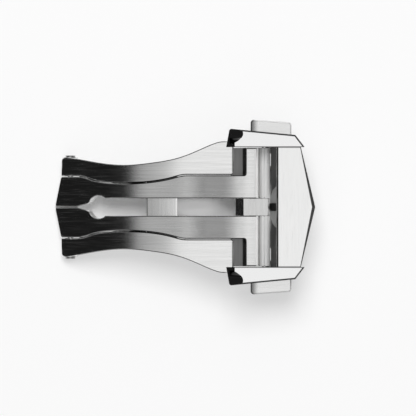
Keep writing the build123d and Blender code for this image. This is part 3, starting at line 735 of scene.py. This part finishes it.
# Floor
# A pale sheet of paper under the clasp. It glows a little where the camera or a mirror sees it,
# but not under the clasp, so that the shade there stays deeper: painted shade. A painted glow
# lights the floor under the slot.
FLOOR_HALF = 3.0
FLOOR_WHITE = 0.945
PAPER = (FLOOR_WHITE, FLOOR_WHITE, FLOOR_WHITE, 1.0)
SHADE_STRETCH = (1.0, 3.0, 1.0)
SHADE_END = (0.012, 0.021)
SLOT_CENTRE = (0.0015, 0.0, 0.0)
SLOT_END = (0.002, 0.0055)
OPEN_GLOW = 0.50
PAINTED_SLOT_GLOW = 0.28
TABLE_END = (0.03, 0.09)
DARK_REFLECTION_COLOR = (0.03, 0.03, 0.03, 1.0)
floor_mesh = bpy.data.meshes.new("floor")
corners = [(-1, -1), (1, -1), (1, 1), (-1, 1)]
floor_mesh.from_pydata([(FLOOR_HALF * x, FLOOR_HALF * y, 0) for x, y in corners], [], [(0, 1, 2, 3)])
floor = bpy.data.objects.new("floor", floor_mesh)
bpy.context.scene.collection.objects.link(floor)
paper, here, shader = new_material("paper")
shader.inputs["Base Color"].default_value = PAPER
shader.inputs["Roughness"].default_value = 0.9
shader.inputs["Specular IOR Level"].default_value = 0.0
sheet = Signal(here.tree, shader.outputs[0])
place = here.node("ShaderNodeTexCoord", output="Object")
stretched = here.node("ShaderNodeVectorMath", {"operation": "MULTIPLY"}, {0: place, 1: SHADE_STRETCH})
away = here.node("ShaderNodeVectorMath", {"operation": "LENGTH"}, {0: stretched}, output="Value")
to_slot = {0: stretched, 1: SLOT_CENTRE}
from_slot = here.node("ShaderNodeVectorMath", {"operation": "DISTANCE"}, to_slot, output="Value")
# painted shade: no glow over the clasp's footprint; painted light: extra glow under the slot
share = OPEN_GLOW * away.smooth(*SHADE_END) + PAINTED_SLOT_GLOW * (1 - from_slot.smooth(*SLOT_END))
rays = ("Is Camera Ray", "Is Glossy Ray", "Is Transmission Ray")
direct, mirrored, through = [here.node("ShaderNodeLightPath", output=name) for name in rays]
glow = here.node("ShaderNodeEmission", (), {"Color": PAPER, "Strength": 1.0})
lit = here.node("ShaderNodeMixShader", (), {0: share * (direct + mirrored + through), 1: sheet, 2: glow})
# painted reflection: past the table the sheet shows mirrors a dark colour, so polished edges
# mirror dark, not the sheet that runs on in the views
distance = here.node("ShaderNodeVectorMath", {"operation": "LENGTH"}, {0: place}, output="Value")
past_table = distance.smooth(*TABLE_END)
room = here.node("ShaderNodeEmission", (), {"Color": DARK_REFLECTION_COLOR, "Strength": 1.0})
lit = here.node("ShaderNodeMixShader", (), {0: mirrored * past_table, 1: lit, 2: room})
lit.feed(here.tree.nodes["Material Output"], "Surface")
floor_mesh.materials.append(paper)


# Light
# The daylight-white tent of a product table: brightest overhead, with a darker wall in front and
# behind and a black card beside the fold. A softbox hangs high above, a little to the rear.
FRONT_WALL = (-0.97, -0.82)
REAR_WALL = 0.46
REAR_WALL_BACK = 0.38
REAR_WALL_WIDTH = 0.14
CARD_END = (-0.50, -0.25)
WALL_LEVEL = 0.10
SOFTBOX_PLACE = (-0.02, 0.44, 1.02)
# brightness of the tent from the -X side, through overhead, to the +X side
ACROSS = (
    (-1.00, 0.012),
    (-0.75, 0.012),
    (-0.60, 0.020),
    (-0.555, 0.10),
    (-0.50, 0.38),
    (-0.40, 0.47),
    (-0.25, 0.60),
    (-0.14, 0.90),
    (0.00, 0.98),
    (0.14, 0.92),
    (0.24, 0.52),
    (0.38, 0.34),
    (0.53, 0.17),
    (0.70, 0.10),
    (0.80, 0.28),
    (0.92, 0.28),
    (0.97, 0.06),
    (1.00, 0.05),
)
world = bpy.data.worlds.new("studio")
bpy.context.scene.world = world
world.use_nodes = True
sky = Signal(world.node_tree)
direction = sky.node("ShaderNodeTexCoord", output="Generated")
parts = sky.node("ShaderNodeSeparateXYZ", (), {0: direction}).socket.node.outputs
toward_x, toward_y = (Signal(world.node_tree, parts[i]) for i in range(2))
stops = [(0.5 + 0.5 * where, level) for where, level in ACROSS]
arch_light = sky.node("ShaderNodeValToRGB", {"stops": stops}, {0: 0.5 + 0.5 * toward_x})
# the rear wall stands further back beside the buckle than beside the card
rear_wall = REAR_WALL + REAR_WALL_BACK * toward_x.smooth(*CARD_END)
open_tent = toward_y.smooth(*FRONT_WALL) * (1 - toward_y.smooth(rear_wall, rear_wall + REAR_WALL_WIDTH))
background = world.node_tree.nodes["Background"]
background.inputs["Color"].default_value = (1.0, 1.0, 1.0, 1.0)
(arch_light * (WALL_LEVEL + (1 - WALL_LEVEL) * open_tent)).feed(background, "Strength")

lamp = bpy.data.lights.new("softbox", "AREA")
lamp.shape = "RECTANGLE"
lamp.size = 0.42
lamp.size_y = 0.60
lamp.energy = 8.9
softbox = bpy.data.objects.new("softbox", lamp)
bpy.context.scene.collection.objects.link(softbox)
softbox.location = SOFTBOX_PLACE
softbox.rotation_euler = (-Vector(SOFTBOX_PLACE)).to_track_quat("-Z", "Y").to_euler()
softbox.visible_glossy = False


# Camera
# Straight above, far off with a long lens, so that the plan shows without perspective.
# Its height makes a pixel of the photograph PIXEL wide at the height of the blades.
PIXEL = 0.153 * MM
PHOTO_WIDTH = 416
LENS = 700.0
SENSOR = 36.0
FRAME_X = 3.54 * MM
FRAME_Y = -0.14 * MM
BLADE_HEIGHT = 6 * MM
camera_data = bpy.data.cameras.new("camera")
camera_data.lens = LENS
camera_data.sensor_width = SENSOR
camera_data.clip_start = 0.05
camera_data.clip_end = 20.0
camera = bpy.data.objects.new("camera", camera_data)
bpy.context.scene.collection.objects.link(camera)
camera.location = (FRAME_X, FRAME_Y, BLADE_HEIGHT + PHOTO_WIDTH * PIXEL * LENS / SENSOR)
camera.rotation_euler = (0.0, 0.0, 0.0)
bpy.context.scene.camera = camera
bpy.context.scene.view_settings.view_transform = "Standard"
